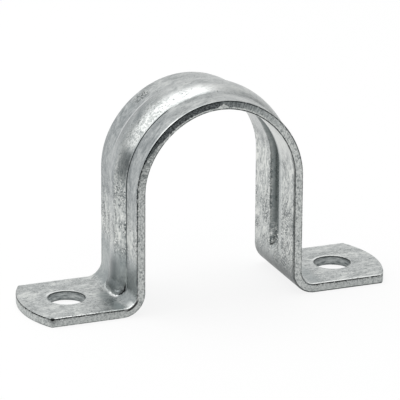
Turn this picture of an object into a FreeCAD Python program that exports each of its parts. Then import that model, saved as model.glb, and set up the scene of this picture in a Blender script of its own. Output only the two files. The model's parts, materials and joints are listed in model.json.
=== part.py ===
import FreeCAD, Part
import math
import os

# Conduit clip: a saddle strap pressed from one flat steel strip. An arch on two straight legs
# goes over the conduit, and each leg turns out into a foot with one screw hole. A stiffening bead
# stands out along the middle of the arch and legs, with a groove behind it on the inside.
# The origin is on the mounting surface, midway between the feet. X runs from foot to foot,
# Y runs along the conduit and Z points up. Lengths are in millimetres.

# Strip
strip_width = 19.2
strip_thickness = 1.8
edge_break = 0.25           # bevel that the die and the zinc leave on every cut edge

# Arch and legs
arch_inner_radius = 14.8    # seats a conduit 29.5 across with 0.1 to spare
arch_centre_height = 23.6   # from the mounting surface to the conduit's axis
foot_bend_radius = 2.7      # hollow side of the bend from leg to foot

# Feet
foot_length = 19.4          # from the leg's outer face to the middle of the rounded end
foot_end_rise = 2.7         # how far the end bows out past its corners
foot_corner_radius = 0.8
hole_from_leg = 10.5        # from the leg's outer face to the hole's centre
hole_radius = 3.6

# Bead, and the groove behind it
bead_width = 8.6
bead_height = 1.2
nose_height = 1.9           # height of the bead where the foot bend hides its lower end
nose_run = 6.0              # from the top of the foot bend up to where the bead begins to rise
groove_width = 4.2
groove_depth = 1.4
groove_lip_radius = 0.3
groove_stop_height = 2.2    # from the top of the foot bend up to the groove's closed end

# Sizes that follow from the values above
leg_outer = arch_inner_radius + strip_thickness
foot_end = leg_outer + foot_length
foot_corner = foot_end - foot_end_rise
hole_reach = leg_outer + hole_from_leg
bend_top = strip_thickness + foot_bend_radius
mid_radius = arch_inner_radius + strip_thickness / 2
half_width = strip_width / 2
Y_AXIS = FreeCAD.Vector(0, 1, 0)
Z_AXIS = FreeCAD.Vector(0, 0, 1)


def point(x, y, z):
    return FreeCAD.Vector(x, y, z)


def arc(start, middle, end):
    return Part.Arc(start, middle, end).toShape()


def half_profile(offset, side):
    """The line of the strap on one side, that far out from its inner face, from crown to foot end."""
    radius = arch_inner_radius + offset
    bend = bend_top - offset
    bend_centre = leg_outer + foot_bend_radius
    diagonal = math.sqrt(0.5)
    crown = point(0, 0, arch_centre_height + radius)
    shoulder = point(side * radius * diagonal, 0, arch_centre_height + radius * diagonal)
    spring = point(side * radius, 0, arch_centre_height)
    bend_start = point(side * radius, 0, bend_top)
    bend_middle = point(side * (bend_centre - bend * diagonal), 0, bend_top - bend * diagonal)
    bend_end = point(side * bend_centre, 0, offset)
    foot_tip = point(side * foot_end, 0, offset)
    return [
        arc(crown, shoulder, spring),
        Part.makeLine(spring, bend_start),
        arc(bend_start, bend_middle, bend_end),
        Part.makeLine(bend_end, foot_tip),
    ]


def across(face, width):
    """A face in the XZ plane made a solid of that width, centred on the plane."""
    face.translate(point(0, -width / 2, 0))
    return face.extrude(point(0, width, 0))


def bent_strip():
    """The strip after bending, square at its ends."""
    inner = half_profile(0, 1) + half_profile(0, -1)
    outer = half_profile(strip_thickness, 1) + half_profile(strip_thickness, -1)
    ends = []
    for side in (1, -1):
        bottom = point(side * foot_end, 0, 0)
        top = point(side * foot_end, 0, strip_thickness)
        ends.append(Part.makeLine(bottom, top))
    outline = Part.Wire(Part.__sortEdges__(inner + outer + ends))
    return across(Part.Face(outline), strip_width)


def plan_outline():
    """The blank seen from above: straight sides, and an arc across the end of each foot."""
    corners = {}
    for side in (1, -1):
        for edge in (1, -1):
            corners[side, edge] = point(side * foot_corner, edge * half_width, 0)
    wire = Part.Wire([
        Part.makeLine(corners[-1, -1], corners[1, -1]),
        arc(corners[1, -1], point(foot_end, 0, 0), corners[1, 1]),
        Part.makeLine(corners[1, 1], corners[-1, 1]),
        arc(corners[-1, 1], point(-foot_end, 0, 0), corners[-1, -1]),
    ])
    height = arch_centre_height + leg_outer
    blank = Part.Face(wire).extrude(point(0, 0, height))
    upright = [e for e in blank.Edges if abs(e.Vertexes[0].Z - e.Vertexes[-1].Z) > height / 2]
    return blank.makeFillet(foot_corner_radius, upright)


def trimmed_strip():
    """The bent strip cut to its plan outline, with every cut edge broken."""
    strip = bent_strip().common(plan_outline()).Solids[0]
    cut_edges = []
    for edge in strip.Edges:
        middle = edge.valueAt((edge.FirstParameter + edge.LastParameter) / 2)
        along_side = abs(abs(middle.y) - half_width) < edge_break / 10
        at_end = abs(middle.x) > foot_corner - foot_corner_radius
        upright = abs(edge.Vertexes[0].Z - edge.Vertexes[-1].Z) > strip_thickness / 2
        crosses = abs(edge.Vertexes[0].Y - edge.Vertexes[-1].Y) > strip_width / 2
        if along_side and not crosses or at_end and not upright:
            cut_edges.append(edge)
    return strip.makeChamfer(edge_break, cut_edges)


def mirrored(solid):
    """The same solid on the other leg."""
    return solid.mirror(point(0, 0, 0), point(1, 0, 0))


def swept_over(section, leg_bottom):
    """A section in the plane through the conduit's axis, taken over the arch and down both legs."""
    axis = point(0, 0, arch_centre_height)
    over = Part.Face(section).revolve(axis, -Y_AXIS, 180)
    down = Part.Face(section).extrude(point(0, 0, leg_bottom - arch_centre_height))
    return over.fuse([down, mirrored(down)])


def arc_radius(width, height):
    return ((width / 2) ** 2 + height ** 2) / (2 * height)


def bead_section(height, level):
    """The bead's section at that level: a round top that high on the leg, closed within the strip."""
    radius = arc_radius(bead_width, height)
    crest_x = leg_outer + height
    half_chord = math.sqrt(radius ** 2 - (mid_radius - crest_x + radius) ** 2)
    low = point(mid_radius, -half_chord, level)
    high = point(mid_radius, half_chord, level)
    return Part.Wire([arc(low, point(crest_x, 0, level), high), Part.makeLine(high, low)])


def bead():
    """The raised rib on the outside. It rises to a nose at its lower end, which the bend hides."""
    nose_top = bend_top + nose_run
    rib = swept_over(bead_section(bead_height, arch_centre_height), nose_top)
    sections = [bead_section(bead_height, nose_top), bead_section(nose_height, strip_thickness / 2)]
    nose = Part.makeLoft(sections, True, True)
    rib = rib.fuse([nose, mirrored(nose)])
    inside = half_profile(strip_thickness / 2, 1) + half_profile(strip_thickness / 2, -1)
    base = Part.makeLine(point(foot_end, 0, strip_thickness / 2), point(-foot_end, 0, strip_thickness / 2))
    core = across(Part.Face(Part.Wire(Part.__sortEdges__(inside + [base]))), strip_width)
    return rib.cut(core)


def groove():
    """The hollow behind the bead, with a round closed end a little above each foot bend."""
    radius = arc_radius(groove_width, groove_depth)
    centre_x = arch_inner_radius + groove_depth - radius
    end_height = bend_top + groove_stop_height + groove_width / 2
    circle = Part.makeCircle(radius, point(centre_x, 0, arch_centre_height), Z_AXIS)
    hollow = swept_over(Part.Wire([circle]), end_height)
    end = Part.makeSphere(radius, point(centre_x, 0, end_height))
    return hollow.fuse([end, mirrored(end)])


def screw_hole(side):
    bottom = point(side * hole_reach, 0, -strip_thickness)
    return Part.makeCylinder(hole_radius, 3 * strip_thickness, bottom, Z_AXIS)


def round_groove_lips(body):
    """Rounds the edges where the groove leaves the inner face."""
    lips = []
    for edge in body.Edges:
        middle = edge.valueAt((edge.FirstParameter + edge.LastParameter) / 2)
        above = max(middle.z - arch_centre_height, 0)
        from_axis = math.hypot(middle.x, above)
        if abs(middle.y) < bead_width / 2 and abs(from_axis - arch_inner_radius) < groove_lip_radius / 10:
            lips.append(edge)
    return body.makeFillet(groove_lip_radius, lips)


def conduit_clip():
    body = trimmed_strip().fuse(bead()).removeSplitter()
    body = body.cut(groove()).removeSplitter()
    body = round_groove_lips(body)
    for side in (1, -1):
        body = body.cut(screw_hole(side))
    return body.Solids[0]


clip = conduit_clip()
os.makedirs("parts", exist_ok=True)
clip.exportStep("parts/clip_strap.step")
print("valid", clip.isValid(), "volume", round(clip.Volume, 1), "faces", len(clip.Faces))
print("box", clip.BoundBox)
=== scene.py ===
import json
import math

import bpy
from mathutils import Matrix, Vector


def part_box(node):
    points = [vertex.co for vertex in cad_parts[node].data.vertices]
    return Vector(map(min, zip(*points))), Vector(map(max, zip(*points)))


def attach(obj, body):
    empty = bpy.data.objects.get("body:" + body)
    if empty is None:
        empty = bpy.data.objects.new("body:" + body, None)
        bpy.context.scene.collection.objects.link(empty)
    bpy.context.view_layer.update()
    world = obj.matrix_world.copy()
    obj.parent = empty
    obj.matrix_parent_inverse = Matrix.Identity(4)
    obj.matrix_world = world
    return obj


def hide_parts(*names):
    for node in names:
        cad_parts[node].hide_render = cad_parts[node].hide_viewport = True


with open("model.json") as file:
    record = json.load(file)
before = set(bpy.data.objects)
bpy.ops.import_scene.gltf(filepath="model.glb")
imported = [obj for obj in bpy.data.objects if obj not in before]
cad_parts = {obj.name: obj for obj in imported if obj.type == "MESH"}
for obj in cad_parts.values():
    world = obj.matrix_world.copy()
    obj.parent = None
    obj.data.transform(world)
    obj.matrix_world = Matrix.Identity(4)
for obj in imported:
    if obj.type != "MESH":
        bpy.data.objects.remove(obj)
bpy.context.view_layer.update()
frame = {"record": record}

# The strap. One strip of mill-galvanised sheet steel, sheared and pierced flat, with a bead pressed along
# its middle, then bent over a former into an arch, two legs and two feet. The bead stands out on the
# outside and leaves a narrower groove inside.

MM = 0.001
mounts = {m["name"]: m for m in frame["record"]["mounts"]}
saddle = mounts["conduit_saddle"]
holes = mounts["foot_holes"]["dims"]
strap_low, strap_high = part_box("clip_strap")

ARCH_RADIUS = saddle["dims"]["r_mm"] * MM
CENTRE_HEIGHT = saddle["pos_m"][2]
HOLE_REACH = holes["spacing_x_mm"] / 2 * MM
HOLE_RADIUS = holes["hole_r_mm"] * MM
WIDTH = strap_high.y - strap_low.y
REACH = strap_high.x
THICKNESS = 1.8 * MM
BEND_RADIUS = 2.7 * MM          # hollow side of the bend from leg to foot
END_RISE = 2.7 * MM             # how far the foot's end bows out past its corners
CORNER_RADIUS = 0.3 * MM        # of the foot's corners in plan
EDGE_RADIUS = 0.22 * MM         # of every broken edge
OUT_OF_ROUND = 0.08 * MM        # how far the arch springs off a half circle, in and out by turns
ARCH_LOBES = 4.0                # waves of that in a full turn
EDGE_FLARE = 0.2 * MM           # how far the squeezed edge swells out in the foot bend
BEAD_HALF_WIDTH = 4.3 * MM
BEAD_HEIGHT = strap_high.z - CENTRE_HEIGHT - ARCH_RADIUS - THICKNESS
GROOVE_HALF_WIDTH = 2.1 * MM
GROOVE_DEPTH = 1.4 * MM
GROOVE_STOP = 1.3 * MM          # from the top of the foot bend up to the groove's closed end
GROOVE_RUN_OUT = 4.0 * MM       # length over which the groove grows shallower
GROOVE_END_SHARE = 0.75         # share of its depth that is left at its end
GROOVE_END_POWER = 4.0          # the higher, the squarer the corners of its end
NOSE_HEIGHT = 1.9 * MM          # height of the bead where the foot bend hides its lower end
NOSE_RUN = 6.0 * MM             # from the top of the foot bend up to where the bead begins to rise
NOSE_TURN = math.radians(69)    # how far round the foot bend the bead's outline reaches
NOSE_CORNER = 2.4 * MM          # radius of the outline's corners
NOSE_TAPER = 0.35 * MM          # how much each side of the outline draws in there
NOSE_STEP = 0.4 * MM            # height of the step round the bead at its nose
NOSE_STEP_POWER = 3.0           # the higher, the later the step grows to that
NOSE_HOLLOW = 0.8 * MM          # how softly the nose runs down into its step
STEP = 0.12 * MM                # height of the step round the rest of the bead
STEP_SLOPE = 0.25 * MM          # width of the slope up to the step

mid_radius = ARCH_RADIUS + THICKNESS / 2
bend_mid_radius = BEND_RADIUS + THICKNESS / 2
leg_run = CENTRE_HEIGHT - THICKNESS - BEND_RADIUS
foot_run = REACH - ARCH_RADIUS - THICKNESS - BEND_RADIUS


def add(tree, kind, links=(), **settings):
    """Adds a node with its settings, joins or fills its inputs, and gives back its first output."""
    node = tree.nodes.new(kind)
    for name, value in settings.items():
        setattr(node, name, value)
    pairs = links.items() if isinstance(links, dict) else enumerate(links)
    for socket, value in pairs:
        if isinstance(value, bpy.types.NodeSocket):
            tree.links.new(value, node.inputs[socket])
        else:
            node.inputs[socket].default_value = value
    return node.outputs[0] if node.outputs else node


def arc_radius(tree, half_chord, rise):
    """The radius of an arc that rises that high over a chord of that half length."""
    squares = add(tree, "ShaderNodeMath", [half_chord, half_chord], operation="MULTIPLY")
    squares = add(tree, "ShaderNodeMath", [rise, rise, squares], operation="MULTIPLY_ADD")
    radius = add(tree, "ShaderNodeMath", [squares, rise], operation="DIVIDE")
    return add(tree, "ShaderNodeMath", [radius, 0.5], operation="MULTIPLY")


def arc_cosine(tree, distance, radius):
    """The cosine of an arc's turn over a point at that distance from the arc's middle line."""
    share = add(tree, "ShaderNodeMath", [distance, radius], operation="DIVIDE")
    share = add(tree, "ShaderNodeMath", [share, 1.0], operation="MINIMUM")
    angle = add(tree, "ShaderNodeMath", [share], operation="ARCSINE")
    return add(tree, "ShaderNodeMath", [angle], operation="COSINE")


def rib_height(tree, distance, half, height):
    """The height of an arc-shaped rib over a point at that distance from its middle line."""
    radius = arc_radius(tree, half, height)
    sunk = add(tree, "ShaderNodeMath", [height, radius], operation="SUBTRACT")
    rise = add(tree, "ShaderNodeMath", [arc_cosine(tree, distance, radius), radius, sunk],
               operation="MULTIPLY_ADD")
    return add(tree, "ShaderNodeMath", [rise, 0.0], operation="MAXIMUM")


def drawn_in(tree, this, other, radius):
    """What a point at (this, other) in a unit corner square loses along this when it becomes a disc."""
    squared = add(tree, "ShaderNodeMath", [other, other], operation="MULTIPLY")
    left = add(tree, "ShaderNodeMath", [squared, -0.5, 1.0], operation="MULTIPLY_ADD")
    kept = add(tree, "ShaderNodeMath", [left], operation="SQRT")
    lost = add(tree, "ShaderNodeMath", [1.0, kept], operation="SUBTRACT")
    scaled = add(tree, "ShaderNodeMath", [lost, this], operation="MULTIPLY")
    return add(tree, "ShaderNodeMath", [scaled, radius], operation="MULTIPLY")


STRAP_SIZES = {
    "Width": WIDTH, "Thickness": THICKNESS, "Edge Radius": EDGE_RADIUS,
    "Arch Mid Radius": mid_radius, "Out Of Round": OUT_OF_ROUND, "Arch Lobes": ARCH_LOBES,
    "Centre Height": CENTRE_HEIGHT, "Leg Run": leg_run, "Edge Flare": EDGE_FLARE,
    "Bend Radius": BEND_RADIUS, "Bend Mid Radius": bend_mid_radius,
    "Foot Run": foot_run, "End Rise": END_RISE, "Corner Radius": CORNER_RADIUS,
    "Hole Reach": HOLE_REACH, "Hole Radius": HOLE_RADIUS,
    "Bead Half Width": BEAD_HALF_WIDTH, "Bead Height": BEAD_HEIGHT,
    "Groove Half Width": GROOVE_HALF_WIDTH, "Groove Depth": GROOVE_DEPTH, "Groove Stop": GROOVE_STOP,
    "Groove Run Out": GROOVE_RUN_OUT, "Groove End Share": GROOVE_END_SHARE,
    "Groove End Power": GROOVE_END_POWER,
    "Nose Height": NOSE_HEIGHT, "Nose Run": NOSE_RUN, "Nose Turn": NOSE_TURN, "Nose Corner": NOSE_CORNER,
    "Nose Taper": NOSE_TAPER, "Nose Step": NOSE_STEP, "Nose Step Power": NOSE_STEP_POWER,
    "Nose Hollow": NOSE_HOLLOW, "Step": STEP, "Step Slope": STEP_SLOPE,
}
COUNTS = {"Stations Along": 480, "Stations Across": 85, "Stations Through": 9, "Punch Sides": 96}

strap_tree = bpy.data.node_groups.new("pressed_strap", "GeometryNodeTree")
for name in STRAP_SIZES:
    strap_tree.interface.new_socket(name, in_out="INPUT", socket_type="NodeSocketFloat")
for name in COUNTS:
    strap_tree.interface.new_socket(name, in_out="INPUT", socket_type="NodeSocketInt")
strap_tree.interface.new_socket("Material", in_out="INPUT", socket_type="NodeSocketMaterial")
strap_tree.interface.new_socket("Geometry", in_out="OUTPUT", socket_type="NodeSocketGeometry")
given = add(strap_tree, "NodeGroupInput").node.outputs

# The flat blank: a closed box whose length is the strip's run from foot end to foot end
quarter_turn = math.pi / 2
arch_end = add(strap_tree, "ShaderNodeMath", [given["Arch Mid Radius"], quarter_turn], operation="MULTIPLY")
leg_end = add(strap_tree, "ShaderNodeMath", [arch_end, given["Leg Run"]], operation="ADD")
bend_end = add(strap_tree, "ShaderNodeMath", [given["Bend Mid Radius"], quarter_turn, leg_end],
               operation="MULTIPLY_ADD")
run_end = add(strap_tree, "ShaderNodeMath", [bend_end, given["Foot Run"]], operation="ADD")
length = add(strap_tree, "ShaderNodeMath", [run_end, 2.0], operation="MULTIPLY")
blank_size = add(strap_tree, "ShaderNodeCombineXYZ", [length, given["Width"], given["Thickness"]])
blank = add(strap_tree, "GeometryNodeMeshCube", {
    "Size": blank_size, "Vertices X": given["Stations Along"],
    "Vertices Y": given["Stations Across"], "Vertices Z": given["Stations Through"]})
flat_place = add(strap_tree, "GeometryNodeInputPosition")
blank = add(strap_tree, "GeometryNodeStoreNamedAttribute", {
    "Geometry": blank, "Name": "strip_place", "Value": flat_place}, data_type="FLOAT_VECTOR", domain="POINT")
flat = add(strap_tree, "ShaderNodeSeparateXYZ", [flat_place]).node.outputs

# Its cut edges are marked for the material
LIES_FLAT = 0.5                 # the least upward share of the normal on a face that isn't a cut edge
flat_normal = add(strap_tree, "GeometryNodeInputNormal")
flat_normal = add(strap_tree, "ShaderNodeSeparateXYZ", [flat_normal]).node.outputs
sheared = add(strap_tree, "ShaderNodeMath", [flat_normal["Z"]], operation="ABSOLUTE")
sheared = add(strap_tree, "ShaderNodeMath", [sheared, LIES_FLAT], operation="LESS_THAN")
blank = add(strap_tree, "GeometryNodeStoreNamedAttribute", {
    "Geometry": blank, "Name": "sheared_face", "Value": sheared}, data_type="FLOAT", domain="FACE")

# A quarter of the strap is worked out, and each point's signs put it back in its own quarter
run = add(strap_tree, "ShaderNodeMath", [flat["X"]], operation="ABSOLUTE")
side = add(strap_tree, "ShaderNodeMath", [flat["X"]], operation="SIGN")
across = add(strap_tree, "ShaderNodeMath", [flat["Y"]], operation="ABSOLUTE")
hand = add(strap_tree, "ShaderNodeMath", [flat["Y"]], operation="SIGN")
depth = add(strap_tree, "ShaderNodeMath", [flat["Z"]], operation="ABSOLUTE")
face = add(strap_tree, "ShaderNodeMath", [flat["Z"]], operation="SIGN")

# How far each point has gone round the arch, down the leg, round the bend and along the foot
arch_turn = add(strap_tree, "ShaderNodeMapRange", [run, 0.0, arch_end, 0.0, quarter_turn])
leg_drop = add(strap_tree, "ShaderNodeMapRange", [run, arch_end, leg_end, 0.0, given["Leg Run"]])
bend_turn = add(strap_tree, "ShaderNodeMapRange", [run, leg_end, bend_end, 0.0, quarter_turn])
foot_flat = add(strap_tree, "ShaderNodeMapRange", [run, bend_end, run_end, 0.0, given["Foot Run"]])

# The foot's end: an arc over the width, which shortens the foot towards its corners
half_width = add(strap_tree, "ShaderNodeMath", [given["Width"], 0.5], operation="MULTIPLY")
end_radius = arc_radius(strap_tree, half_width, given["End Rise"])
end_cosine = arc_cosine(strap_tree, across, end_radius)
end_lost = add(strap_tree, "ShaderNodeMath", [1.0, end_cosine], operation="SUBTRACT")
end_lost = add(strap_tree, "ShaderNodeMath", [end_lost, end_radius], operation="MULTIPLY")
foot_share = add(strap_tree, "ShaderNodeMath", [foot_flat, given["Foot Run"]], operation="DIVIDE")
end_lost = add(strap_tree, "ShaderNodeMath", [end_lost, foot_share], operation="MULTIPLY")
foot_out = add(strap_tree, "ShaderNodeMath", [foot_flat, end_lost], operation="SUBTRACT")

# Rounded corners in plan: a square patch at each corner is drawn in to a quarter disc
corner_along = add(strap_tree, "ShaderNodeMath", [given["Foot Run"], given["Corner Radius"]],
                   operation="SUBTRACT")
corner_u = add(strap_tree, "ShaderNodeMapRange", [foot_flat, corner_along, given["Foot Run"], 0.0, 1.0])
corner_across = add(strap_tree, "ShaderNodeMath", [half_width, given["Corner Radius"]], operation="SUBTRACT")
corner_v = add(strap_tree, "ShaderNodeMapRange", [across, corner_across, half_width, 0.0, 1.0])
foot_out = add(strap_tree, "ShaderNodeMath", [
    foot_out, drawn_in(strap_tree, corner_u, corner_v, given["Corner Radius"])], operation="SUBTRACT")
new_across = add(strap_tree, "ShaderNodeMath", [
    across, drawn_in(strap_tree, corner_v, corner_u, given["Corner Radius"])], operation="SUBTRACT")

# The bead: a rib with a round top. Towards its lower end it stands out further, and there the hollow of
# the foot bend swallows it
nose_start = add(strap_tree, "ShaderNodeMath", [leg_end, given["Nose Run"]], operation="SUBTRACT")
nose_share = add(strap_tree, "ShaderNodeMapRange", [run, nose_start, bend_end, 0.0, 1.0],
                 interpolation_type="SMOOTHSTEP")
crest_height = add(strap_tree, "ShaderNodeMix", {
    "Factor": nose_share, "A": given["Bead Height"], "B": given["Nose Height"]}, data_type="FLOAT")
bead = rib_height(strap_tree, across, given["Bead Half Width"], crest_height)
LEAST_COSINE = 0.01             # keeps the division below from running off at the bend's end
bend_left = add(strap_tree, "ShaderNodeMath", [given["Bend Radius"], bead], operation="SUBTRACT")
bend_cosine = add(strap_tree, "ShaderNodeMath", [bend_turn], operation="COSINE")
divisor = add(strap_tree, "ShaderNodeMath", [bend_cosine, LEAST_COSINE], operation="MAXIMUM")
bend_left = add(strap_tree, "ShaderNodeMath", [bend_left, divisor], operation="DIVIDE")
swallowed = add(strap_tree, "ShaderNodeMath", [given["Bend Radius"], bend_left], operation="SUBTRACT")

# The bead's outline on the strip, a long shape with round corners that ends in the bend: a low step
# runs all round it, and inside it the bead runs out into the foot in a hollow curve
outline_end = add(strap_tree, "ShaderNodeMath", [given["Bend Mid Radius"], given["Nose Turn"], leg_end],
                  operation="MULTIPLY_ADD")
round_start = add(strap_tree, "ShaderNodeMath", [outline_end, given["Nose Corner"]], operation="SUBTRACT")
outline_along = add(strap_tree, "ShaderNodeMath", [run, round_start], operation="SUBTRACT")
round_side = add(strap_tree, "ShaderNodeMath", [given["Nose Corner"], given["Bead Half Width"]],
                 operation="SUBTRACT")
outline_across = add(strap_tree, "ShaderNodeMath", [across, round_side], operation="ADD")
outline_across = add(strap_tree, "ShaderNodeMath", [nose_share, given["Nose Taper"], outline_across],
                     operation="MULTIPLY_ADD")
beyond_along = add(strap_tree, "ShaderNodeMath", [outline_along, 0.0], operation="MAXIMUM")
beyond_across = add(strap_tree, "ShaderNodeMath", [outline_across, 0.0], operation="MAXIMUM")
beyond = add(strap_tree, "ShaderNodeCombineXYZ", [beyond_along, beyond_across])
beyond = add(strap_tree, "ShaderNodeVectorMath", [beyond], operation="LENGTH").node.outputs["Value"]
within = add(strap_tree, "ShaderNodeMath", [outline_along, outline_across], operation="MAXIMUM")
within = add(strap_tree, "ShaderNodeMath", [within, 0.0], operation="MINIMUM")
from_outline = add(strap_tree, "ShaderNodeMath", [beyond, within], operation="ADD")
from_outline = add(strap_tree, "ShaderNodeMath", [from_outline, given["Nose Corner"]], operation="SUBTRACT")
slope_top = add(strap_tree, "ShaderNodeMath", [given["Step Slope"], -1.0], operation="MULTIPLY")
inside = add(strap_tree, "ShaderNodeMapRange", [from_outline, 0.0, slope_top, 0.0, 1.0])
step_share = add(strap_tree, "ShaderNodeMath", [nose_share, given["Nose Step Power"]], operation="POWER")
step = add(strap_tree, "ShaderNodeMix", {
    "Factor": step_share, "A": given["Step"], "B": given["Nose Step"]}, data_type="FLOAT")
step = add(strap_tree, "ShaderNodeMath", [step, inside], operation="MULTIPLY")
hollow = add(strap_tree, "ShaderNodeMath", [nose_share, inside], operation="MULTIPLY")
hollow = add(strap_tree, "ShaderNodeMath", [hollow, given["Nose Hollow"]], operation="MULTIPLY")
hollow = add(strap_tree, "ShaderNodeMath", [hollow, hollow], operation="MULTIPLY")
gap = add(strap_tree, "ShaderNodeMath", [swallowed, step], operation="SUBTRACT")
gap = add(strap_tree, "ShaderNodeMath", [gap, gap, hollow], operation="MULTIPLY_ADD")
gap = add(strap_tree, "ShaderNodeMath", [gap], operation="SQRT")
bead = add(strap_tree, "ShaderNodeMath", [swallowed, step], operation="ADD")
bead = add(strap_tree, "ShaderNodeMath", [bead, gap], operation="ADD")
bead = add(strap_tree, "ShaderNodeMath", [bead, 0.5], operation="MULTIPLY")
outline_mm = add(strap_tree, "ShaderNodeMath", [from_outline, MM], operation="DIVIDE")
blank = add(strap_tree, "GeometryNodeStoreNamedAttribute", {
    "Geometry": blank, "Name": "from_outline", "Value": outline_mm}, data_type="FLOAT", domain="POINT")

# The groove: narrower than the bead. It grows shallower towards its blunt end a little above the bend
groove_end = add(strap_tree, "ShaderNodeMath", [leg_end, given["Groove Stop"]], operation="SUBTRACT")
fade_start = add(strap_tree, "ShaderNodeMath", [groove_end, given["Groove Run Out"]], operation="SUBTRACT")
groove_left = add(strap_tree, "ShaderNodeMapRange", [
    run, fade_start, groove_end, 1.0, given["Groove End Share"]], interpolation_type="SMOOTHSTEP")
end_start = add(strap_tree, "ShaderNodeMath", [groove_end, given["Groove Half Width"]], operation="SUBTRACT")
past_end = add(strap_tree, "ShaderNodeMath", [run, end_start], operation="SUBTRACT")
past_end = add(strap_tree, "ShaderNodeMath", [past_end, 0.0], operation="MAXIMUM")
past_end = add(strap_tree, "ShaderNodeMath", [past_end, given["Groove End Power"]], operation="POWER")
from_middle = add(strap_tree, "ShaderNodeMath", [across, given["Groove End Power"]], operation="POWER")
from_middle = add(strap_tree, "ShaderNodeMath", [from_middle, past_end], operation="ADD")
root = add(strap_tree, "ShaderNodeMath", [1.0, given["Groove End Power"]], operation="DIVIDE")
from_middle = add(strap_tree, "ShaderNodeMath", [from_middle, root], operation="POWER")
groove = rib_height(strap_tree, from_middle, given["Groove Half Width"], given["Groove Depth"])
groove = add(strap_tree, "ShaderNodeMath", [groove, groove_left], operation="MULTIPLY")

# Broken edges: the blank's square edges are drawn in to quarter rounds
half_thick = add(strap_tree, "ShaderNodeMath", [given["Thickness"], 0.5], operation="MULTIPLY")
edge_across = add(strap_tree, "ShaderNodeMath", [half_width, given["Edge Radius"]], operation="SUBTRACT")
edge_v = add(strap_tree, "ShaderNodeMapRange", [across, edge_across, half_width, 0.0, 1.0])
edge_deep = add(strap_tree, "ShaderNodeMath", [half_thick, given["Edge Radius"]], operation="SUBTRACT")
edge_w = add(strap_tree, "ShaderNodeMapRange", [depth, edge_deep, half_thick, 0.0, 1.0])
edge_along = add(strap_tree, "ShaderNodeMath", [run_end, given["Edge Radius"]], operation="SUBTRACT")
edge_u = add(strap_tree, "ShaderNodeMapRange", [run, edge_along, run_end, 0.0, 1.0])
new_across = add(strap_tree, "ShaderNodeMath", [
    new_across, drawn_in(strap_tree, edge_v, edge_w, given["Edge Radius"])], operation="SUBTRACT")
foot_out = add(strap_tree, "ShaderNodeMath", [
    foot_out, drawn_in(strap_tree, edge_u, edge_w, given["Edge Radius"])], operation="SUBTRACT")
edge_side = add(strap_tree, "ShaderNodeMath", [edge_u, edge_v], operation="MAXIMUM")
new_depth = add(strap_tree, "ShaderNodeMath", [
    depth, drawn_in(strap_tree, edge_w, edge_side, given["Edge Radius"])], operation="SUBTRACT")

# Out from the middle of the thickness: full height of the bead or groove at the faces, none at the middle
outside = add(strap_tree, "ShaderNodeMath", [face, 0.0], operation="GREATER_THAN")
relief = add(strap_tree, "ShaderNodeMix", {"Factor": outside, "A": groove, "B": bead}, data_type="FLOAT")
depth_share = add(strap_tree, "ShaderNodeMath", [depth, half_thick], operation="DIVIDE")
relief = add(strap_tree, "ShaderNodeMath", [relief, depth_share], operation="MULTIPLY")
offset = add(strap_tree, "ShaderNodeMath", [new_depth, face, relief], operation="MULTIPLY_ADD")

# The bent line of the strip, and the point's place off it
turned = add(strap_tree, "ShaderNodeMath", [arch_turn, bend_turn], operation="SUBTRACT")
turned_sine = add(strap_tree, "ShaderNodeMath", [turned], operation="SINE")
turned_cosine = add(strap_tree, "ShaderNodeMath", [turned], operation="COSINE")
arch_sine = add(strap_tree, "ShaderNodeMath", [arch_turn], operation="SINE")
arch_cosine = add(strap_tree, "ShaderNodeMath", [arch_turn], operation="COSINE")
bend_sine = add(strap_tree, "ShaderNodeMath", [bend_turn], operation="SINE")
bend_versine = add(strap_tree, "ShaderNodeMath", [1.0, bend_cosine], operation="SUBTRACT")
lobes = add(strap_tree, "ShaderNodeMath", [arch_turn, given["Arch Lobes"]], operation="MULTIPLY")
lobes = add(strap_tree, "ShaderNodeMath", [lobes], operation="COSINE")
arch_radius = add(strap_tree, "ShaderNodeMath", [lobes, given["Out Of Round"], given["Arch Mid Radius"]],
                  operation="MULTIPLY_ADD")
out_x = add(strap_tree, "ShaderNodeMath", [arch_sine, arch_radius, foot_out], operation="MULTIPLY_ADD")
out_x = add(strap_tree, "ShaderNodeMath", [bend_versine, given["Bend Mid Radius"], out_x],
            operation="MULTIPLY_ADD")
out_x = add(strap_tree, "ShaderNodeMath", [offset, turned_sine, out_x], operation="MULTIPLY_ADD")
out_x = add(strap_tree, "ShaderNodeMath", [out_x, side], operation="MULTIPLY")
up_z = add(strap_tree, "ShaderNodeMath", [given["Centre Height"], leg_drop], operation="SUBTRACT")
up_z = add(strap_tree, "ShaderNodeMath", [arch_cosine, arch_radius, up_z], operation="MULTIPLY_ADD")
bend_down = add(strap_tree, "ShaderNodeMath", [bend_sine, given["Bend Mid Radius"]], operation="MULTIPLY")
up_z = add(strap_tree, "ShaderNodeMath", [up_z, bend_down], operation="SUBTRACT")
up_z = add(strap_tree, "ShaderNodeMath", [offset, turned_cosine, up_z], operation="MULTIPLY_ADD")

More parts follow.
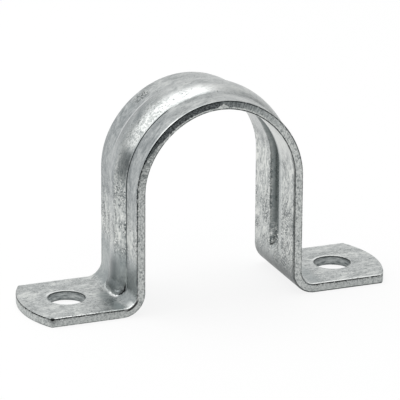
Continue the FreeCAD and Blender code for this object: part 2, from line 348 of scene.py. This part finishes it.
# The hollow side of each bend is squeezed, so the strip's edge swells out there
squeezed = add(strap_tree, "ShaderNodeMath", [bend_turn, 2.0], operation="MULTIPLY")
squeezed = add(strap_tree, "ShaderNodeMath", [squeezed], operation="SINE")
swelling = add(strap_tree, "ShaderNodeMapRange", [flat["Z"], 0.0, half_thick, 0.0, given["Edge Flare"]])
swelling = add(strap_tree, "ShaderNodeMath", [swelling, squeezed], operation="MULTIPLY")
at_edge = add(strap_tree, "ShaderNodeMapRange", [across, given["Bead Half Width"], half_width, 0.0, 1.0],
              interpolation_type="SMOOTHSTEP")
new_across = add(strap_tree, "ShaderNodeMath", [swelling, at_edge, new_across], operation="MULTIPLY_ADD")
new_y = add(strap_tree, "ShaderNodeMath", [new_across, hand], operation="MULTIPLY")
bent_place = add(strap_tree, "ShaderNodeCombineXYZ", [out_x, new_y, up_z])
bent = add(strap_tree, "GeometryNodeSetPosition", {"Geometry": blank, "Position": bent_place})

# The two screw holes, pierced by one punch that is repeated at both feet
PUNCH_LENGTH = 3.0              # in thicknesses of the strip: it passes both faces by one
punch_length = add(strap_tree, "ShaderNodeMath", [given["Thickness"], PUNCH_LENGTH], operation="MULTIPLY")
punch = add(strap_tree, "GeometryNodeMeshCylinder", {
    "Vertices": given["Punch Sides"], "Side Segments": 1,
    "Radius": given["Hole Radius"], "Depth": punch_length})
for mark in ("sheared_face", "hole_wall"):
    punch = add(strap_tree, "GeometryNodeStoreNamedAttribute", {
        "Geometry": punch, "Name": mark, "Value": 1.0}, data_type="FLOAT", domain="FACE")
spacing = add(strap_tree, "ShaderNodeMath", [given["Hole Reach"], 2.0], operation="MULTIPLY")
first = add(strap_tree, "ShaderNodeMath", [given["Hole Reach"], -1.0], operation="MULTIPLY")
places = add(strap_tree, "GeometryNodeMeshLine", {
    "Count": 2, "Start Location": add(strap_tree, "ShaderNodeCombineXYZ", [first, 0.0, half_thick]),
    "Offset": add(strap_tree, "ShaderNodeCombineXYZ", [spacing, 0.0, 0.0])})
punches = add(strap_tree, "GeometryNodeInstanceOnPoints", {"Points": places, "Instance": punch})
punches = add(strap_tree, "GeometryNodeRealizeInstances", [punches])
pierced = add(strap_tree, "GeometryNodeMeshBoolean", {"Mesh 1": bent, "Mesh 2": punches},
              operation="DIFFERENCE", solver="MANIFOLD")

# Every face is shaded smooth, and creases such as the holes' rims stay sharp
CREASE_TURN = math.radians(40)
edge_turn = add(strap_tree, "GeometryNodeInputMeshEdgeAngle")
crease = add(strap_tree, "ShaderNodeMath", [edge_turn, CREASE_TURN], operation="GREATER_THAN")
smooth = add(strap_tree, "GeometryNodeSetShadeSmooth", {"Geometry": pierced, "Shade Smooth": True})
smooth = add(strap_tree, "GeometryNodeSetShadeSmooth", {
    "Geometry": smooth, "Selection": crease, "Shade Smooth": False}, domain="EDGE")
real = add(strap_tree, "GeometryNodeRealizeInstances", [smooth])
finished = add(strap_tree, "GeometryNodeSetMaterial", {"Geometry": real, "Material": given["Material"]})
add(strap_tree, "NodeGroupOutput", {"Geometry": finished})


def linear(hex_colour):
    """An sRGB hex colour as the linear colour that a node takes, by the sRGB standard's own curve."""
    parts = [int(hex_colour[i:i + 2], 16) / 255 for i in (1, 3, 5)]
    return [c / 12.92 if c <= 0.04045 else ((c + 0.055) / 1.055) ** 2.4 for c in parts] + [1.0]


# Mill-galvanised steel: a bare metal whose zinc coat is bright and smooth where the tools rubbed it and
# dull and speckled elsewhere. Sheared faces show grey steel with smeared zinc, dark along their borders.
# Some of the layers below are painted highlights and painted shade, marked as such where they stand.
zinc = bpy.data.materials.new("mill_galvanised_steel")
zinc.use_nodes = True
zinc_tree = zinc.node_tree
shader = zinc_tree.nodes["Principled BSDF"]
shader.inputs["Metallic"].default_value = 1.0

# Places in millimetres: along, across and through the strip from its crown's middle
strip_place = add(zinc_tree, "ShaderNodeAttribute", attribute_name="strip_place").node.outputs["Vector"]
strip_mm = add(zinc_tree, "ShaderNodeVectorMath", {"Vector": strip_place, "Scale": 1 / MM},
               operation="SCALE")
own_place = add(zinc_tree, "ShaderNodeTexCoord").node.outputs["Object"]
own_mm = add(zinc_tree, "ShaderNodeVectorMath", {"Vector": own_place, "Scale": 1 / MM}, operation="SCALE")
along, across_mm, through = add(zinc_tree, "ShaderNodeSeparateXYZ", [strip_mm]).node.outputs
values = {"along": along, "across": across_mm, "through": through}
for name in ("from_outline", "sheared_face", "hole_wall"):
    values[name] = add(zinc_tree, "ShaderNodeAttribute", attribute_name=name).node.outputs["Fac"]
CREST_ASIDE = 2.3               # millimetres from the middle of the bead to its bright line, on the near side
from_crest = add(zinc_tree, "ShaderNodeMath", [across_mm, CREST_ASIDE], operation="ADD")
for name, signed in (("from crown", along), ("from middle", across_mm), ("depth", through),
                     ("from crest", from_crest), ("off outline", values["from_outline"])):
    values[name] = add(zinc_tree, "ShaderNodeMath", [signed], operation="ABSOLUTE")

# Patterns in the zinc, from blotches down to dust: size across the strip in millimetres, how many times
# longer along it and through it, turn in degrees, detail and distortion. Real zinc dust is finer than
# 0.3 mm, which is the least that still shows in the render.
PATTERNS = {
    "patches": (2.6, 1.8, 1.0, 12, 3.0, 1.0),
    "grain": (0.55, 1.6, 1.0, 0, 4.0, 0.8),
    "streaks": (0.9, 6.0, 1.0, 20, 2.0, 0.4),
    "dashes": (0.34, 3.0, 1.0, 0, 2.0, 0.6),
    "specks": (0.32, 1.3, 1.0, 0, 2.0, 0.0),
    "ridges": (0.5, 0.5, 3.0, 0, 1.0, 0.0),
    "flecks": (0.30, 1.2, 1.0, 0, 3.0, 0.6),
    "crumbs": (0.34, 1.3, 1.0, 0, 4.0, 0.5),
}
PATTERN_SHIFT = 37.0            # from one pattern's place in the noise to the next, so that none match
for order, (name, (size, longer, deeper, turn, detail, distortion)) in enumerate(PATTERNS.items()):
    place = add(zinc_tree, "ShaderNodeMapping", {
        "Vector": strip_mm, "Location": (PATTERN_SHIFT * order, 0.0, 0.0),
        "Rotation": (0.0, 0.0, math.radians(turn)),
        "Scale": (size * longer, size, size * deeper)}, vector_type="TEXTURE")
    values[name] = add(zinc_tree, "ShaderNodeTexNoise", {
        "Vector": place, "Scale": 1.0, "Detail": detail, "Roughness": 0.6, "Distortion": distortion})
values["tone"] = add(zinc_tree, "ShaderNodeMix", {
    "Factor": 0.5, "A": values["patches"], "B": values["grain"]}, data_type="FLOAT")

# Places off the screw holes' rims and off the feet's corners, and the upright marks of the punch
own_x, own_y, values["height"] = add(zinc_tree, "ShaderNodeSeparateXYZ", [own_mm]).node.outputs
from_hole = add(zinc_tree, "ShaderNodeMath", [own_x], operation="ABSOLUTE")
from_hole = add(zinc_tree, "ShaderNodeMath", [from_hole, HOLE_REACH / MM], operation="SUBTRACT")
from_hole = add(zinc_tree, "ShaderNodeCombineXYZ", [from_hole, own_y])
from_hole = add(zinc_tree, "ShaderNodeVectorMath", [from_hole], operation="LENGTH").node.outputs["Value"]
values["from rim"] = add(zinc_tree, "ShaderNodeMath", [from_hole, HOLE_RADIUS / MM], operation="SUBTRACT")
WALL_SPECK = (1.2, 1.2, 0.35)   # millimetres: wide and low
wall_place = add(zinc_tree, "ShaderNodeMapping", {"Vector": own_mm, "Scale": WALL_SPECK},
                 vector_type="TEXTURE")
values["wall specks"] = add(zinc_tree, "ShaderNodeTexNoise", {
    "Vector": wall_place, "Scale": 1.0, "Detail": 3.0})
foot_corner = [size / MM for size in (REACH - END_RISE, WIDTH / 2, THICKNESS)]
from_corner = add(zinc_tree, "ShaderNodeVectorMath", [own_mm], operation="ABSOLUTE")
from_corner = add(zinc_tree, "ShaderNodeVectorMath", [from_corner, foot_corner], operation="DISTANCE")
values["from corner"] = from_corner.node.outputs["Value"]

# Where the shearing tore the steel: from the arch's left shoulder, below which it stays smooth, past the
# crown, where two cuts met in a nick, and fainter down the right shoulder
TORN_RUN = (-20.0, -13.0)       # along the strip, from where its floor begins to drop to where it is lowest
TORN_FLOOR = (0.5, -0.65)       # through the strip, the floor's place at those two
TORN_WAVER = 0.5                # how much the specks move it
NICK_PLACE, NICK_REACH, NICK_HEIGHT = 0.4, 1.2, 0.65        # the nick lifts the floor
torn_floor = add(zinc_tree, "ShaderNodeMapRange", [along, *TORN_RUN, *TORN_FLOOR])
nick = add(zinc_tree, "ShaderNodeMath", [along, NICK_PLACE], operation="SUBTRACT")
nick = add(zinc_tree, "ShaderNodeMath", [nick], operation="ABSOLUTE")
nick = add(zinc_tree, "ShaderNodeMapRange", [nick, 0.0, NICK_REACH, NICK_HEIGHT, 0.0])
torn_floor = add(zinc_tree, "ShaderNodeMath", [torn_floor, nick], operation="ADD")
torn_floor = add(zinc_tree, "ShaderNodeMath", [values["specks"], TORN_WAVER, torn_floor],
                 operation="MULTIPLY_ADD")
values["above torn floor"] = add(zinc_tree, "ShaderNodeMath", [through, torn_floor], operation="SUBTRACT")

# Masks: a value, where the mask is 0 and where it is 1, and for a band the same again for its other side.
# They are in millimetres, apart from those on a pattern or a marked face
MASKS = {
    # Faces: from the strip's middle out towards its outer face, and the marked faces
    "sheared face": ("sheared_face", 0.0, 1.0),
    "hole wall": ("hole_wall", 0.0, 1.0),
    "wall top": ("height", 1.45, 1.62),
    "wall line": ("height", 0.85, 1.0, 1.3, 1.15),
    "wall foot": ("height", 0.5, 0.2),
    "outer face": ("through", 0.0, 0.3),
    "inner face": ("through", 0.0, -0.3),
    "roll line": ("through", 0.78, 0.62),
    "roll line end": ("through", 0.12, 0.3),
    "foot line": ("through", 0.54, 0.68),
    "under foot line": ("through", 0.15, 0.6),
    "ridged part": ("through", -0.75, -0.25),
    "border": ("depth", 0.58, 0.68, 0.9, 0.8),
    "torn": ("above torn floor", -0.04, 0.1),
    # Runs along the strip, where left of the crown is negative
    "left": ("along", -6.0, -10.0),
    "right": ("along", -0.5, 1.0),
    "left shoulder": ("along", -5.0, -14.0),
    "inner shoulder": ("along", 5.5, 9.0, 25.0, 16.0),
    "scuff run": ("along", -7.6, -8.6, -11.6, -10.4),
    "fleck run": ("along", -5.5, -9.0, -20.5, -17.0),
    "highlight run": ("along", 6.0, 0.0),
    "highlight run end": ("along", -18.8, -16.8),
    "top crest": ("along", -11.5, -7.5),
    "rim run": ("along", -17.0, -11.0),
    "shade run": ("along", -17.0, -19.2, -25.5, -22.0),
    "torn right": ("along", 17.0, 4.0),
    "beside nick": ("along", 8.0, 2.0),
    "torn left": ("along", 1.0, 0.2),
    "ridge run": ("along", -13.0, -17.0, -26.0, -19.5),
    # Runs from the crown down both sides alike
    "arch": ("from crown", 25.0, 17.0),
    "legs": ("from crown", 17.0, 25.0),
    "above bend": ("from crown", 47.0, 43.0),
    "feet": ("from crown", 45.0, 49.0),
    "foot bend": ("from crown", 36.0, 39.5, 49.2, 47.0),
    "nose top": ("from crown", 38.4, 41.0),
    "arch side": ("from crown", 34.0, 25.0),
    "under bend": ("from crown", 42.8, 45.6, 48.5, 47.0),
    "in bend": ("from crown", 44.5, 45.8, 49.5, 48.0),
    "roll middle": ("from crown", 45.9, 46.7, 48.2, 47.4),
    "light line": ("from crown", 40.0, 41.0, 45.0, 44.0),
    "foot shade": ("from crown", 48.2, 49.0, 51.8, 50.6),
    "leg outline": ("from crown", 43.0, 38.0),
    "nose end": ("from crown", 42.8, 44.6),
    "groove": ("from crown", 40.5, 36.5),
    "leg foot": ("from crown", 40.5, 43.5),
    "low leg": ("from crown", 31.0, 34.0),
    "groove run": ("from crown", 42.4, 41.6),
    "groove tip": ("from crown", 40.3, 41.4),
    # Places across the strip, where the near side is negative
    "near half": ("across", 0.5, -0.5),
    "far half": ("across", -0.5, 0.5),
    "nose far side": ("across", -3.2, -0.8),
    "far highlight line": ("across", 4.15, 4.35, 4.85, 4.65),
    "scuff side": ("across", 5.6, 6.4, 8.8, 8.2),
    "far rim": ("across", 1.4, 3.0),
    "crescent": ("across", 1.0, -1.8),
    "rim side": ("across", -3.6, -3.0),
    "arc side": ("across", -3.0, -3.55),
    "in groove": ("across", -1.75, -1.5, 2.4, 1.7),
    "groove lip": ("across", -1.25, -1.55),
    "groove lip end": ("across", -2.0, -1.75),
    "past groove": ("across", -3.2, -2.8),
    "highlight side": ("across", -0.4, -2.8),
    "groove tip side": ("across", 0.6, -0.8),
    "beside groove": ("across", -2.2, -2.5, -4.2, -3.2),
    "shade side": ("across", -0.4, -2.6),
    "nose": ("from middle", 3.6, 2.8),
    "rolled edge": ("from middle", 7.2, 9.0),
    "on bead": ("from middle", 4.2, 3.8),
    "long edge": ("from middle", 9.08, 9.33),
    "off crest": ("from crest", 1.2, 2.2),
    # Places off the bead's outline, the holes' rims and the feet's corners
    "nose foot": ("from_outline", -0.1, -0.5),
    "outside outline": ("from_outline", 0.02, 0.14),
    "outside outline end": ("from_outline", 0.6, 0.3),
    "crescent end": ("from_outline", 1.0, 0.45),
    "outline": ("off outline", 0.22, 0.08),
    "arc line": ("off outline", 0.16, 0.06),
    "rim": ("from rim", 0.55, 0.35),
    "corner": ("from corner", 0.64, 0.36),
    "corner surround": ("from corner", 1.7, 0.5),
    # Patterns
    "speckled places": ("patches", 0.56, 0.46),
    "dark patches": ("patches", 0.44, 0.36),
    "haze": ("grain", 0.46, 0.56),
    "broken": ("grain", 0.62, 0.5),
    "bright streaks": ("streaks", 0.55, 0.66),
    "dark streaks": ("streaks", 0.44, 0.34),
    "dashes": ("dashes", 0.59, 0.64),
    "specks": ("specks", 0.6, 0.68),
    "pale specks": ("specks", 0.4, 0.34),
    "ridges": ("ridges", 0.58, 0.44),
    "flecks": ("flecks", 0.55, 0.61),
    "pale flecks": ("flecks", 0.44, 0.38),
    "scuffed": ("flecks", 0.46, 0.55),
}
masks = {}
for name, (value, *stops) in MASKS.items():
    masks[name] = [add(zinc_tree, "ShaderNodeMapRange", [values[value], nought, full, 0.0, 1.0],
                       interpolation_type="SMOOTHSTEP") for nought, full in zip(stops[::2], stops[1::2])]


def kept_to(names, share):
    """A share that holds where all the named masks are 1, and fades to nothing where any of them does."""
    for name in names:
        for side_mask in masks[name]:
            share = add(zinc_tree, "ShaderNodeMath", [side_mask, share], operation="MULTIPLY")
    return share


# Ramps: a pattern, and the colours that it runs through
RAMPS = {
    "mottle": ("tone", (
        (0.38, "#656b6b"), (0.44, "#8e9393"), (0.50, "#afb3b2"), (0.55, "#c6c9c7"), (0.60, "#e2e4e0"))),
    "rubbed zinc": ("tone", ((0.40, "#7d8385"), (0.50, "#969b9d"), (0.60, "#b4b8b8"))),
    "steel": ("crumbs", ((0.32, "#777d7e"), (0.43, "#aeb2b1"), (0.53, "#cdd0ce"), (0.66, "#dfe2df"))),
    "torn steel": ("specks", ((0.34, "#24282a"), (0.50, "#43484a"), (0.66, "#777c7e"))),
    "wall": ("wall specks", ((0.35, "#757b7c"), (0.50, "#a3a8a8"), (0.65, "#c2c6c5"))),
}
colours = {}
for name, (value, stops) in RAMPS.items():
    ramp = add(zinc_tree, "ShaderNodeValToRGB", [values[value]]).node
    for place, _ in stops[2:]:
        ramp.color_ramp.elements.new(place)
    for element, (place, hex_colour) in zip(ramp.color_ramp.elements, stops):
        element.position = place
        element.color = linear(hex_colour)
    colours[name] = ramp.outputs["Color"]

# Layers from the bottom up: a colour or one of the ramps, how strongly it covers, and the masks that keep
# it to its place
LAYERS = (
    # The zinc all over, brighter on the arch and feet, with streaks, specks and flecks on the legs
    ("#abaeae", 0.60, ("arch",)),
    ("#b9bcbb", 0.50, ("feet",)),
    ("#e2e4e1", 0.52, ("bright streaks", "legs", "above bend")),
    ("#7d8485", 0.34, ("dark streaks", "legs", "above bend")),
    ("#4f5556", 0.85, ("specks", "speckled places")),
    ("#e6e7e4", 0.50, ("pale specks", "legs", "above bend")),
    ("#474d4e", 0.88, ("flecks", "legs", "above bend", "speckled places")),
    ("#f6f7f3", 0.85, ("pale flecks", "legs", "above bend", "speckled places")),
    # The inner face, duller and darker low on the legs with painted shade, with a painted highlight beside
    # the groove's near lip, and bright on its near right shoulder
    ("#a2a6a6", 0.35, ("inner face", "leg foot")),
    ("#6a7070", 0.30, ("inner face", "leg foot", "near half")),
    ("#656b6c", 0.75, ("inner face", "near half", "legs", "dark patches")),
    ("#3f4546", 0.85, ("inner face", "near half", "low leg", "above bend", "flecks")),
    ("#f2f3ef", 0.60, ("inner face", "near half", "low leg", "above bend", "pale flecks")),
    ("#d3d7d5", 0.45, ("inner face", "beside groove", "groove run")),
    ("#f4f6f3", 0.55, ("inner face", "near half", "inner shoulder")),
    # The outside of the arch: smooth rubbed zinc, a painted highlight on the bead's near flank with its haze
    # and flecks, and painted shade on the bead below it on the left shoulder
    ("rubbed zinc", 0.80, ("outer face", "left shoulder", "arch side", "off crest")),
    ("#6f7677", 0.60, ("outer face", "left shoulder", "arch side", "specks")),
    ("#f6f6f2", 0.25, ("outer face", "highlight side", "on bead", "highlight run", "highlight run end", "broken")),
    ("#fafafa", 0.22, ("outer face", "highlight side", "on bead", "highlight run", "top crest", "broken")),
    ("#6f7575", 0.45, ("outer face", "fleck run", "on bead", "haze")),
    ("#515757", 0.62, ("outer face", "fleck run", "on bead", "flecks")),
    ("#4f5556", 0.75, ("outer face", "highlight side", "highlight run", "specks", "dark patches")),
    ("#7b8284", 0.45, ("outer face", "left shoulder", "arch side", "far half", "dark patches")),
    ("#5a6061", 0.75, ("outer face", "shade run", "shade side", "on bead")),
    # Short marks on the feet, the scuff on the arch, and a painted highlight along the far side of the bead
    ("#666d6e", 0.80, ("dashes", "feet")),
    ("#dfe2e0", 0.45, ("pale specks", "feet")),
    ("#3a4142", 0.85, ("outer face", "scuff run", "scuff side", "scuffed")),
    ("#eceeed", 0.45, ("outer face", "far highlight line", "arch", "left")),
    # The foot bends and the near side of the feet beside them, darkened with painted shade, and the bead's
    # nose with painted shade on it. Painted highlights fall on the swelled near edge in the bend, round the
    # nose's outline and in the bright crescent below it
    ("#8b9293", 0.75, ("outer face", "foot bend")),
    ("#868e8f", 0.55, ("outer face", "foot shade", "near half")),
    ("#5a6162", 0.82, ("outer face", "nose top", "nose foot", "nose far side", "nose")),
    ("#e6e9e8", 0.80, ("outer face", "roll middle", "rolled edge", "near half")),
    ("#d0d5d4", 0.55, ("outer face", "outside outline", "outside outline end", "nose end", "rim side")),
    ("#f6f7f6", 0.95, ("outer face", "outside outline", "crescent end", "nose end", "rim side", "crescent")),
    # The line where the bead's step meets the strip: painted shade in the crease, a broken painted highlight
    # along it at the nose, and black painted shade in the crease round the nose and up the left shoulder
    ("#43494a", 0.80, ("outline", "outer face", "near half", "left", "leg outline")),
    ("#d4d9d7", 0.50, ("outline", "outer face", "near half", "left", "light line", "broken")),
    ("#16191a", 0.95, ("arc line", "outer face", "arc side", "nose end")),
    ("#1b1f20", 0.85, ("arc line", "outer face", "near half", "left", "arch side")),
    # The strip's long edges and the holes' rims: painted highlights along the outer edges of the feet and of
    # the arch's left side and on the holes' far rims, and dark lines along some edges
    ("#f6f8f7", 0.90, ("outer face", "long edge", "feet", "broken")),
    ("#f4f5f4", 0.40, ("outer face", "long edge", "rim run", "left", "near half")),
    ("#3a4041", 0.65, ("inner face", "long edge", "near half", "right", "legs")),
    ("#1d2122", 0.80, ("outer face", "long edge", "legs", "left", "near half", "flecks")),
    ("#eef0ef", 0.85, ("outer face", "rim", "far rim")),
    # The groove, darkened with painted shade, with painted shade on its near lip and at its end, and the
    # painted shade under the bend
    ("#6c7373", 0.85, ("inner face", "in groove", "groove")),
    ("#9ea3a3", 0.60, ("inner face", "groove lip", "past groove", "groove")),
    ("#383d3e", 0.75, ("inner face", "groove lip", "groove lip end", "groove run")),
    ("#383d3e", 0.65, ("inner face", "groove tip", "groove tip side", "groove lip end", "groove run")),
    ("#4a5051", 0.80, ("inner face", "under bend")),
    # The cut edges: torn and ridged on the arch and dark along their borders. In the left bend, a painted
    # highlight on the swelled edge with a line of painted shade just below it
    ("steel", 1.00, ("sheared face",)),
    ("#adb1b0", 0.40, ("sheared face", "feet")),
    ("#656b6c", 0.60, ("sheared face", "left", "arch side", "flecks")),
    ("torn steel", 0.95, ("sheared face", "torn", "torn left")),
    ("#aab0b0", 0.75, ("sheared face", "torn", "torn right", "right")),
    ("torn steel", 0.55, ("sheared face", "torn", "torn right", "right", "ridges")),
    ("torn steel", 0.55, ("sheared face", "torn", "beside nick", "right")),
    ("#5d6363", 0.65, ("sheared face", "ridge run", "ridges", "ridged part")),
    ("#2b3031", 0.85, ("sheared face", "border", "broken", "arch")),
    ("#3a3f40", 0.60, ("sheared face", "border", "broken")),
    ("#2b3031", 0.80, ("sheared face", "border", "inner face", "right")),
    ("#1d2122", 0.75, ("sheared face", "under foot line", "feet", "flecks")),
    ("#1d2122", 0.90, ("sheared face", "foot line", "feet", "broken")),
    ("#15181a", 0.90, ("sheared face", "foot line", "legs", "flecks")),
    ("#15181a", 0.85, ("sheared face", "foot line", "arch side", "left", "broken")),
    # Darker round the near corner of the left foot, and darkest at the corner itself
    ("#2a2e2f", 0.45, ("sheared face", "corner surround", "left", "near half")),
    ("#131617", 0.95, ("corner", "left", "near half")),
    ("#e6e9e8", 0.80, ("sheared face", "roll line end", "in bend", "left")),
    ("#17191a", 0.95, ("sheared face", "roll line", "roll line end", "in bend", "left")),
    ("#5b6162", 0.70, ("sheared face", "foot line", "in bend", "right")),
    # The holes' walls: a pale band round the middle, dark at the top and at the foot
    ("wall", 1.00, ("hole wall",)),
    ("#b9bebe", 0.55, ("hole wall", "wall line")),
    ("#2f3435", 0.75, ("hole wall", "wall top")),
    ("#5a6061", 0.50, ("hole wall", "wall foot")),
)
FACTOR, UNDER, OVER, MIXED = 0, 6, 7, 2     # sockets of the Mix node for colours, which share their names
colour = colours["mottle"]
for paint, share, names in LAYERS:
    paint = colours[paint] if paint in colours else linear(paint)
    colour = add(zinc_tree, "ShaderNodeMix", {
        FACTOR: kept_to(names, share), UNDER: colour, OVER: paint}, data_type="RGBA").node.outputs[MIXED]
zinc_tree.links.new(colour, shader.inputs["Base Color"])

# Roughness: dull grain scatters the light more than the rubbed zinc of the arch and the bends. The shares
# and masks work as they do in the layers
TONE_SPAN = (0.42, 0.58)
TONE_ROUGHNESS = (0.27, 0.40)
FINISHES = (
    (0.30, 0.70, ("arch",)),
    (0.24, 1.00, ("outer face", "foot bend")),
    (0.50, 1.00, ("sheared face",)),
)
roughness = add(zinc_tree, "ShaderNodeMapRange", [values["tone"], *TONE_SPAN, *TONE_ROUGHNESS])
for finish, share, names in FINISHES:
    roughness = add(zinc_tree, "ShaderNodeMix", {
        "Factor": kept_to(names, share), "A": roughness, "B": finish}, data_type="FLOAT")
zinc_tree.links.new(roughness, shader.inputs["Roughness"])

# Bump: the grain and the specks stand a few hundredths of a millimetre proud
GRAIN_HEIGHT = 0.06 * MM
GRAIN_STRENGTH = 0.75
grain_relief = add(zinc_tree, "ShaderNodeMix", {
    "Factor": 0.5, "A": values["grain"], "B": values["specks"]}, data_type="FLOAT")
bump = add(zinc_tree, "ShaderNodeBump", {
    "Height": grain_relief, "Strength": GRAIN_STRENGTH, "Distance": GRAIN_HEIGHT})
zinc_tree.links.new(bump, shader.inputs["Normal"])

# The finished strap: the tree's result as a plain mesh, in the place of the CAD strap
holder = bpy.data.objects.new("strap_builder", bpy.data.meshes.new("strap_builder"))
bpy.context.scene.collection.objects.link(holder)
bending = holder.modifiers.new("pressed_strap", "NODES")
bending.node_group = strap_tree
inputs = {**STRAP_SIZES, **COUNTS, "Material": zinc}
for item in strap_tree.interface.items_tree:
    if item.in_out == "INPUT":
        bending[item.identifier] = inputs[item.name]
evaluated = holder.evaluated_get(bpy.context.evaluated_depsgraph_get())
strap_mesh = bpy.data.meshes.new_from_object(evaluated)
strap_mesh.name = "strap"
bpy.data.objects.remove(holder)
strap = bpy.data.objects.new("strap", strap_mesh)
bpy.context.scene.collection.objects.link(strap)
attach(strap, "root")
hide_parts("clip_strap")

# The floor. One large plain sheet of white card that lies under the clip. It looks white to the camera
# and in the metal, and it keeps a faint shadow of the clip.

FLOOR_REACH = 3.0
CAMERA_WHITE = 0.85             # share of plain white in what the camera sees, the rest is lit card
REFLECTED_WHITE = 0.6           # the same in what the metal shows
floor_corners = [(x * FLOOR_REACH, y * FLOOR_REACH, 0) for x, y in ((-1, -1), (1, -1), (1, 1), (-1, 1))]
floor_mesh = bpy.data.meshes.new("floor")
floor_mesh.from_pydata(floor_corners, [], [(0, 1, 2, 3)])
floor = bpy.data.objects.new("floor", floor_mesh)
bpy.context.scene.collection.objects.link(floor)
card = bpy.data.materials.new("white_card")
card.use_nodes = True
card_shader = card.node_tree.nodes["Principled BSDF"]
card_shader.inputs["Base Color"].default_value = linear("#f2f2f2")
card_shader.inputs["Roughness"].default_value = 0.9
card_tree = card.node_tree
path = add(card_tree, "ShaderNodeLightPath").node.outputs
reflected = add(card_tree, "ShaderNodeMath", [path["Is Glossy Ray"], path["Is Transmission Ray"]],
                operation="MAXIMUM")
reflected = add(card_tree, "ShaderNodeMath", [reflected, REFLECTED_WHITE], operation="MULTIPLY")
white_share = add(card_tree, "ShaderNodeMath", [path["Is Camera Ray"], CAMERA_WHITE], operation="MULTIPLY")
white_share = add(card_tree, "ShaderNodeMath", [white_share, reflected], operation="MAXIMUM")
white = add(card_tree, "ShaderNodeEmission", [linear("#ffffff"), 1.0])
blend = add(card_tree, "ShaderNodeMixShader", [white_share, card_shader.outputs[0], white])
card_tree.links.new(blend, card_tree.nodes["Material Output"].inputs["Surface"])
floor_mesh.materials.append(card)

# The light and the camera. A white room that is darker behind the camera, and one long soft box that
# hangs above the clip, a little behind it and to its left. The camera stands as the photo's camera did,
# which was fitted to the clip's outline.

BACK_WALL_START = (0.2, 0.7)    # how far a view points to the back where the wall begins and is whole
BACK_WALL_LIGHT = (0.18, 1.0)
CEILING_START = (0.3, 0.65)     # how far it points up where the ceiling begins and is whole
CEILING_LIGHT = (0.0, 0.9)
room = bpy.data.worlds.new("white_room")
bpy.context.scene.world = room
room.use_nodes = True
room_tree = room.node_tree
toward = add(room_tree, "ShaderNodeSeparateXYZ", [add(room_tree, "ShaderNodeTexCoord")]).node.outputs
back_wall = add(room_tree, "ShaderNodeMapRange", [toward["Y"], *BACK_WALL_START, *BACK_WALL_LIGHT],
                interpolation_type="SMOOTHSTEP")
ceiling = add(room_tree, "ShaderNodeMapRange", [toward["Z"], *CEILING_START, *CEILING_LIGHT],
              interpolation_type="SMOOTHSTEP")
level = add(room_tree, "ShaderNodeMath", [back_wall, ceiling], operation="MAXIMUM")
room_tree.links.new(level, room_tree.nodes["Background"].inputs["Strength"])
room_tree.nodes["Background"].inputs["Color"].default_value = linear("#ffffff")


def facing(right, up, back, place):
    """Where a lamp or camera stands: its place, and its right, up and back directions."""
    return Matrix.Translation(place) @ Matrix((right, up, back)).transposed().to_4x4()


SOFTBOX_SIZE = (1.12, 0.45)
SOFTBOX_WATTS = 1.96
SOFTBOX_WAY = (-0.39, 0.25, 0.88)       # from the clip towards the box
SOFTBOX_DISTANCE = 0.5
SOFTBOX_ASIDE = 0.11                    # how far the box is moved to its left
softbox_lamp = bpy.data.lights.new("overhead_softbox", "AREA")
softbox_lamp.shape = "RECTANGLE"
softbox_lamp.size, softbox_lamp.size_y = SOFTBOX_SIZE
softbox_lamp.energy = SOFTBOX_WATTS
softbox = bpy.data.objects.new("overhead_softbox", softbox_lamp)
toward_box = Vector(SOFTBOX_WAY).normalized()
box_right = Vector((0.0, 1.0, 0.0)).cross(toward_box).normalized()
box_place = toward_box * SOFTBOX_DISTANCE - box_right * SOFTBOX_ASIDE
softbox.matrix_world = facing(box_right, toward_box.cross(box_right), toward_box, box_place)
bpy.context.scene.collection.objects.link(softbox)

AZIMUTH = math.radians(21.765)
ELEVATION = math.radians(19.274)
ROLL = math.radians(0.358)
DISTANCE = 0.71514
AIM = Vector((-0.312, 0.0, 17.862)) * MM        # the point in the middle of the view
FOCAL_PIXELS = 3798.8                           # focal length in pixels of the photo
FRAME_PIXELS = 400
SENSOR_WIDTH = 36.0
lens = bpy.data.cameras.new("camera")
lens.sensor_width = SENSOR_WIDTH
lens.lens = SENSOR_WIDTH * FOCAL_PIXELS / FRAME_PIXELS
camera = bpy.data.objects.new("camera", lens)
forward = Vector((
    math.sin(AZIMUTH) * math.cos(ELEVATION), math.cos(AZIMUTH) * math.cos(ELEVATION), -math.sin(ELEVATION)))
right = Vector((math.cos(AZIMUTH), -math.sin(AZIMUTH), 0.0))
up = right.cross(forward)
turned_right = right * math.cos(ROLL) + up * math.sin(ROLL)
turned_up = up * math.cos(ROLL) - right * math.sin(ROLL)
camera.matrix_world = facing(turned_right, turned_up, -forward, AIM - forward * DISTANCE)
bpy.context.scene.collection.objects.link(camera)
bpy.context.scene.camera = camera
bpy.context.scene.view_settings.view_transform = "Standard"
